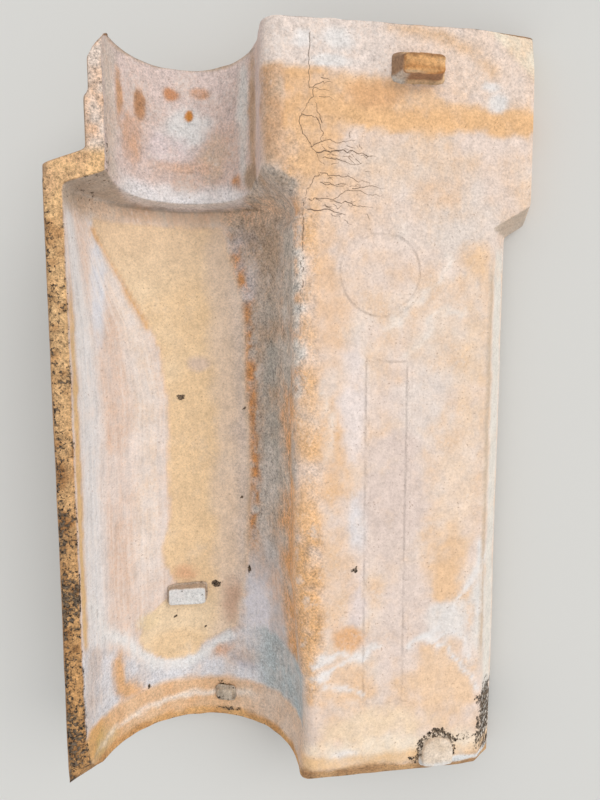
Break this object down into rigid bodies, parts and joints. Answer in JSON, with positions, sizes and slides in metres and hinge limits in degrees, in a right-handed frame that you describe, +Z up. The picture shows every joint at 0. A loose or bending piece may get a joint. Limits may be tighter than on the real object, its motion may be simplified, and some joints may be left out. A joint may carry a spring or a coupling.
{
  "type": "clay roof tile",
  "caption": "Interlocking fired-clay roof tile: a round barrel drawn in to a neck at the head, beside a flat pan with a turned side, a stepped wider head and a batten nib.",
  "frame": {"origin": "centre of the bottom of the tile's bounding box as it lies unheld on a level floor, underside up", "axes": "X runs across the slope from the barrel's free rim to the pan's side, Y up the slope from tail to head, Z up from the floor"},
  "size_m": [0.2608, 0.43, 0.0998],
  "materials": {
    "fired_clay": "matte, weathered, pale peach clay"
  },
  "bodies": {
    "root": {"roof_tile": "fired_clay"}
  },
  "joints": []
}
